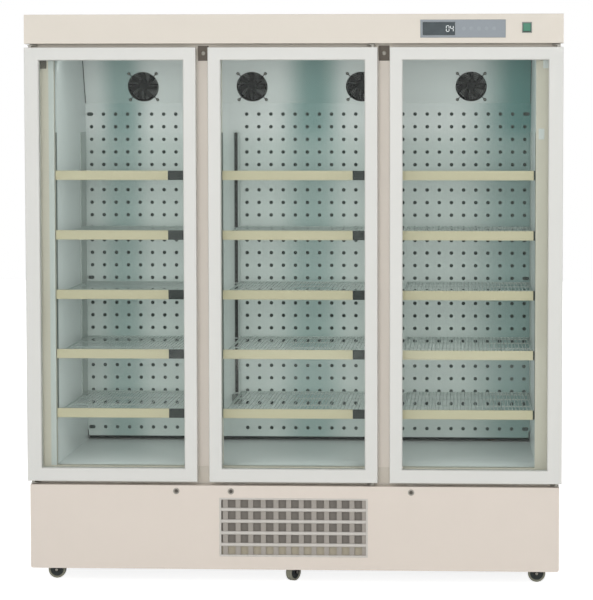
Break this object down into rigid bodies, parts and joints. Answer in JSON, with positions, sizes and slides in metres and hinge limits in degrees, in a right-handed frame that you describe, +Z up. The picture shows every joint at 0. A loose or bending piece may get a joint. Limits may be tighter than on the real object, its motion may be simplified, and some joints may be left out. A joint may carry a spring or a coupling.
{
  "type": "pharmacy refrigerator",
  "caption": "Free-standing pharmacy refrigerator with glass doors side by side, barred shelves, a header with a controller, a base panel with an air grille and keyed locks, on swivel casters.",
  "frame": {"origin": "on the floor, under the middle of the object's bounding box", "axes": "+Z up, the doors face -Y, +X to the right as seen from the front"},
  "size_m": [1.87, 0.89, 1.995],
  "materials": {
    "painted_sheet": "satin",
    "foam": "matte",
    "liner_sheet": "satin",
    "frame_plastic": "satin",
    "dark_plastic": "satin",
    "panel_grey": "satin",
    "display_glass": "gloss",
    "rocker_green": "gloss",
    "grille_plastic": "satin",
    "bracket_steel": "satin",
    "chassis_steel": "satin",
    "compressor_black": "satin",
    "fin_aluminium": "satin",
    "galvanised": "satin",
    "drain_plastic": "matte",
    "copper": "satin",
    "shelf_wire": "gloss",
    "strip_plastic": "satin",
    "upright_steel": "satin",
    "door_frame": "satin",
    "clear_glass": "polished",
    "gasket": "matte",
    "lock_metal": "polished",
    "fork_steel": "satin",
    "wheel_plastic": "satin"
  },
  "bodies": {
    "root": {"side_panels": "painted_sheet", "rear_panel": "painted_sheet", "top_panel": "painted_sheet", "insulation": "foam", "liner": "liner_sheet", "front_frame": "frame_plastic", "mullion_posts": "frame_plastic", "frame_caps": "dark_plastic", "header_cover": "painted_sheet", "control_panel": "panel_grey", "display_module": "display_glass", "switch_frame": "dark_plastic", "base_front_panel": "painted_sheet", "intake_grille": "grille_plastic", "lock_barrels": "dark_plastic", "hinge_brackets": "bracket_steel", "chassis": "chassis_steel", "compressor": "compressor_black", "condenser": "fin_aluminium", "condenser_shroud": "galvanised", "drain_pan": "drain_plastic", "evaporator": "fin_aluminium", "pipework": "copper", "fan_panel": "liner_sheet", "fan_housings": "dark_plastic", "fan_guards": "dark_plastic", "back_panels": "liner_sheet", "shelves": "shelf_wire", "label_strips": "strip_plastic", "shelf_uprights": "upright_steel"},
    "rocker": {"rocker_switch": "rocker_green"},
    "condenser_fan": {"condenser_rotor": "dark_plastic"},
    "door_left": {"door_left_frame": "door_frame", "door_left_glass": "clear_glass", "door_left_gasket": "gasket"},
    "lock_left": {"lock_plug_left": "lock_metal"},
    "door_middle": {"door_middle_frame": "door_frame", "door_middle_glass": "clear_glass", "door_middle_gasket": "gasket"},
    "lock_middle": {"lock_plug_middle": "lock_metal"},
    "door_right": {"door_right_frame": "door_frame", "door_right_glass": "clear_glass", "door_right_gasket": "gasket"},
    "lock_right": {"lock_plug_right": "lock_metal"},
    "fan_1": {"fan_rotor_1": "dark_plastic"},
    "fan_2": {"fan_rotor_2": "dark_plastic"},
    "fan_3": {"fan_rotor_3": "dark_plastic"},
    "fan_4": {"fan_rotor_4": "dark_plastic"},
    "swivel_front_left": {"caster_fork_front_left": "fork_steel"},
    "wheel_front_left": {"caster_wheel_front_left": "wheel_plastic"},
    "swivel_front_middle": {"caster_fork_front_middle": "fork_steel"},
    "wheel_front_middle": {"caster_wheel_front_middle": "wheel_plastic"},
    "swivel_front_right": {"caster_fork_front_right": "fork_steel"},
    "wheel_front_right": {"caster_wheel_front_right": "wheel_plastic"},
    "swivel_rear_left": {"caster_fork_rear_left": "fork_steel"},
    "wheel_rear_left": {"caster_wheel_rear_left": "wheel_plastic"},
    "swivel_rear_middle": {"caster_fork_rear_middle": "fork_steel"},
    "wheel_rear_middle": {"caster_wheel_rear_middle": "wheel_plastic"},
    "swivel_rear_right": {"caster_fork_rear_right": "fork_steel"},
    "wheel_rear_right": {"caster_wheel_rear_right": "wheel_plastic"}
  },
  "joints": [
    {"name": "door_left_hinge", "type": "hinge", "parent": "root", "child": "door_left", "pos_m": [-0.917, -0.423, 1.123], "axis": [0, 0, -1], "range_deg": [0, 110]},
    {"name": "door_middle_hinge", "type": "hinge", "parent": "root", "child": "door_middle", "pos_m": [0.2765, -0.423, 1.123], "axis": [0, 0, 1], "range_deg": [0, 110]},
    {"name": "door_right_hinge", "type": "hinge", "parent": "root", "child": "door_right", "pos_m": [0.917, -0.423, 1.123], "axis": [0, 0, 1], "range_deg": [0, 110]},
    {"name": "lock_left_turn", "type": "hinge", "parent": "root", "child": "lock_left", "pos_m": [-0.4115, -0.43, 0.332], "axis": [0, -1, 0], "range_deg": [0, 90]},
    {"name": "lock_middle_turn", "type": "hinge", "parent": "root", "child": "lock_middle", "pos_m": [-0.2195, -0.43, 0.332], "axis": [0, -1, 0], "range_deg": [0, 90]},
    {"name": "lock_right_turn", "type": "hinge", "parent": "root", "child": "lock_right", "pos_m": [0.4115, -0.43, 0.332], "axis": [0, -1, 0], "range_deg": [0, 90]},
    {"name": "rocker_tilt", "type": "hinge", "parent": "root", "child": "rocker", "pos_m": [0.809, -0.435, 1.9475], "axis": [1, 0, 0], "range_deg": [0, 12]},
    {"name": "fan_1_spin", "type": "hinge", "parent": "root", "child": "fan_1", "pos_m": [-0.6195, 0.21826, 1.75749], "axis": [0, -0.9397, -0.342], "continuous": true},
    {"name": "fan_2_spin", "type": "hinge", "parent": "root", "child": "fan_2", "pos_m": [-0.2065, 0.21826, 1.75749], "axis": [0, -0.9397, -0.342], "continuous": true},
    {"name": "fan_3_spin", "type": "hinge", "parent": "root", "child": "fan_3", "pos_m": [0.2065, 0.21826, 1.75749], "axis": [0, -0.9397, -0.342], "continuous": true},
    {"name": "fan_4_spin", "type": "hinge", "parent": "root", "child": "fan_4", "pos_m": [0.6195, 0.21826, 1.75749], "axis": [0, -0.9397, -0.342], "continuous": true},
    {"name": "condenser_fan_spin", "type": "hinge", "parent": "root", "child": "condenser_fan", "pos_m": [0, -0.19, 0.208], "axis": [0, 1, 0], "continuous": true},
    {"name": "swivel_front_left", "type": "hinge", "parent": "root", "child": "swivel_front_left", "pos_m": [-0.838, -0.335, 0.076], "axis": [0, 0, 1], "continuous": true},
    {"name": "roll_front_left", "type": "hinge", "parent": "swivel_front_left", "child": "wheel_front_left", "pos_m": [-0.853, -0.335, 0.031], "axis": [0, -1, 0], "continuous": true},
    {"name": "swivel_front_middle", "type": "hinge", "parent": "root", "child": "swivel_front_middle", "pos_m": [0, -0.335, 0.076], "axis": [0, 0, 1], "continuous": true},
    {"name": "roll_front_middle", "type": "hinge", "parent": "swivel_front_middle", "child": "wheel_front_middle", "pos_m": [-0.00795, -0.34772, 0.031], "axis": [0.848, -0.5299, 0], "continuous": true},
    {"name": "swivel_front_right", "type": "hinge", "parent": "root", "child": "swivel_front_right", "pos_m": [0.838, -0.335, 0.076], "axis": [0, 0, 1], "continuous": true},
    {"name": "roll_front_right", "type": "hinge", "parent": "swivel_front_right", "child": "wheel_front_right", "pos_m": [0.853, -0.335, 0.031], "axis": [0, 1, 0], "continuous": true},
    {"name": "swivel_rear_left", "type": "hinge", "parent": "root", "child": "swivel_rear_left", "pos_m": [-0.838, 0.385, 0.076], "axis": [0, 0, 1], "continuous": true},
    {"name": "roll_rear_left", "type": "hinge", "parent": "swivel_rear_left", "child": "wheel_rear_left", "pos_m": [-0.8521, 0.39013, 0.031], "axis": [-0.342, -0.9397, 0], "continuous": true},
    {"name": "swivel_rear_middle", "type": "hinge", "parent": "root", "child": "swivel_rear_middle", "pos_m": [0, 0.385, 0.076], "axis": [0, 0, 1], "continuous": true},
    {"name": "roll_rear_middle", "type": "hinge", "parent": "swivel_rear_middle", "child": "wheel_rear_middle", "pos_m": [-0.01409, 0.37987, 0.031], "axis": [0.342, -0.9397, 0], "continuous": true},
    {"name": "swivel_rear_right", "type": "hinge", "parent": "root", "child": "swivel_rear_right", "pos_m": [0.838, 0.385, 0.076], "axis": [0, 0, 1], "continuous": true},
    {"name": "roll_rear_right", "type": "hinge", "parent": "swivel_rear_right", "child": "wheel_rear_right", "pos_m": [0.8521, 0.39013, 0.031], "axis": [-0.342, 0.9397, 0], "continuous": true}
  ]
}
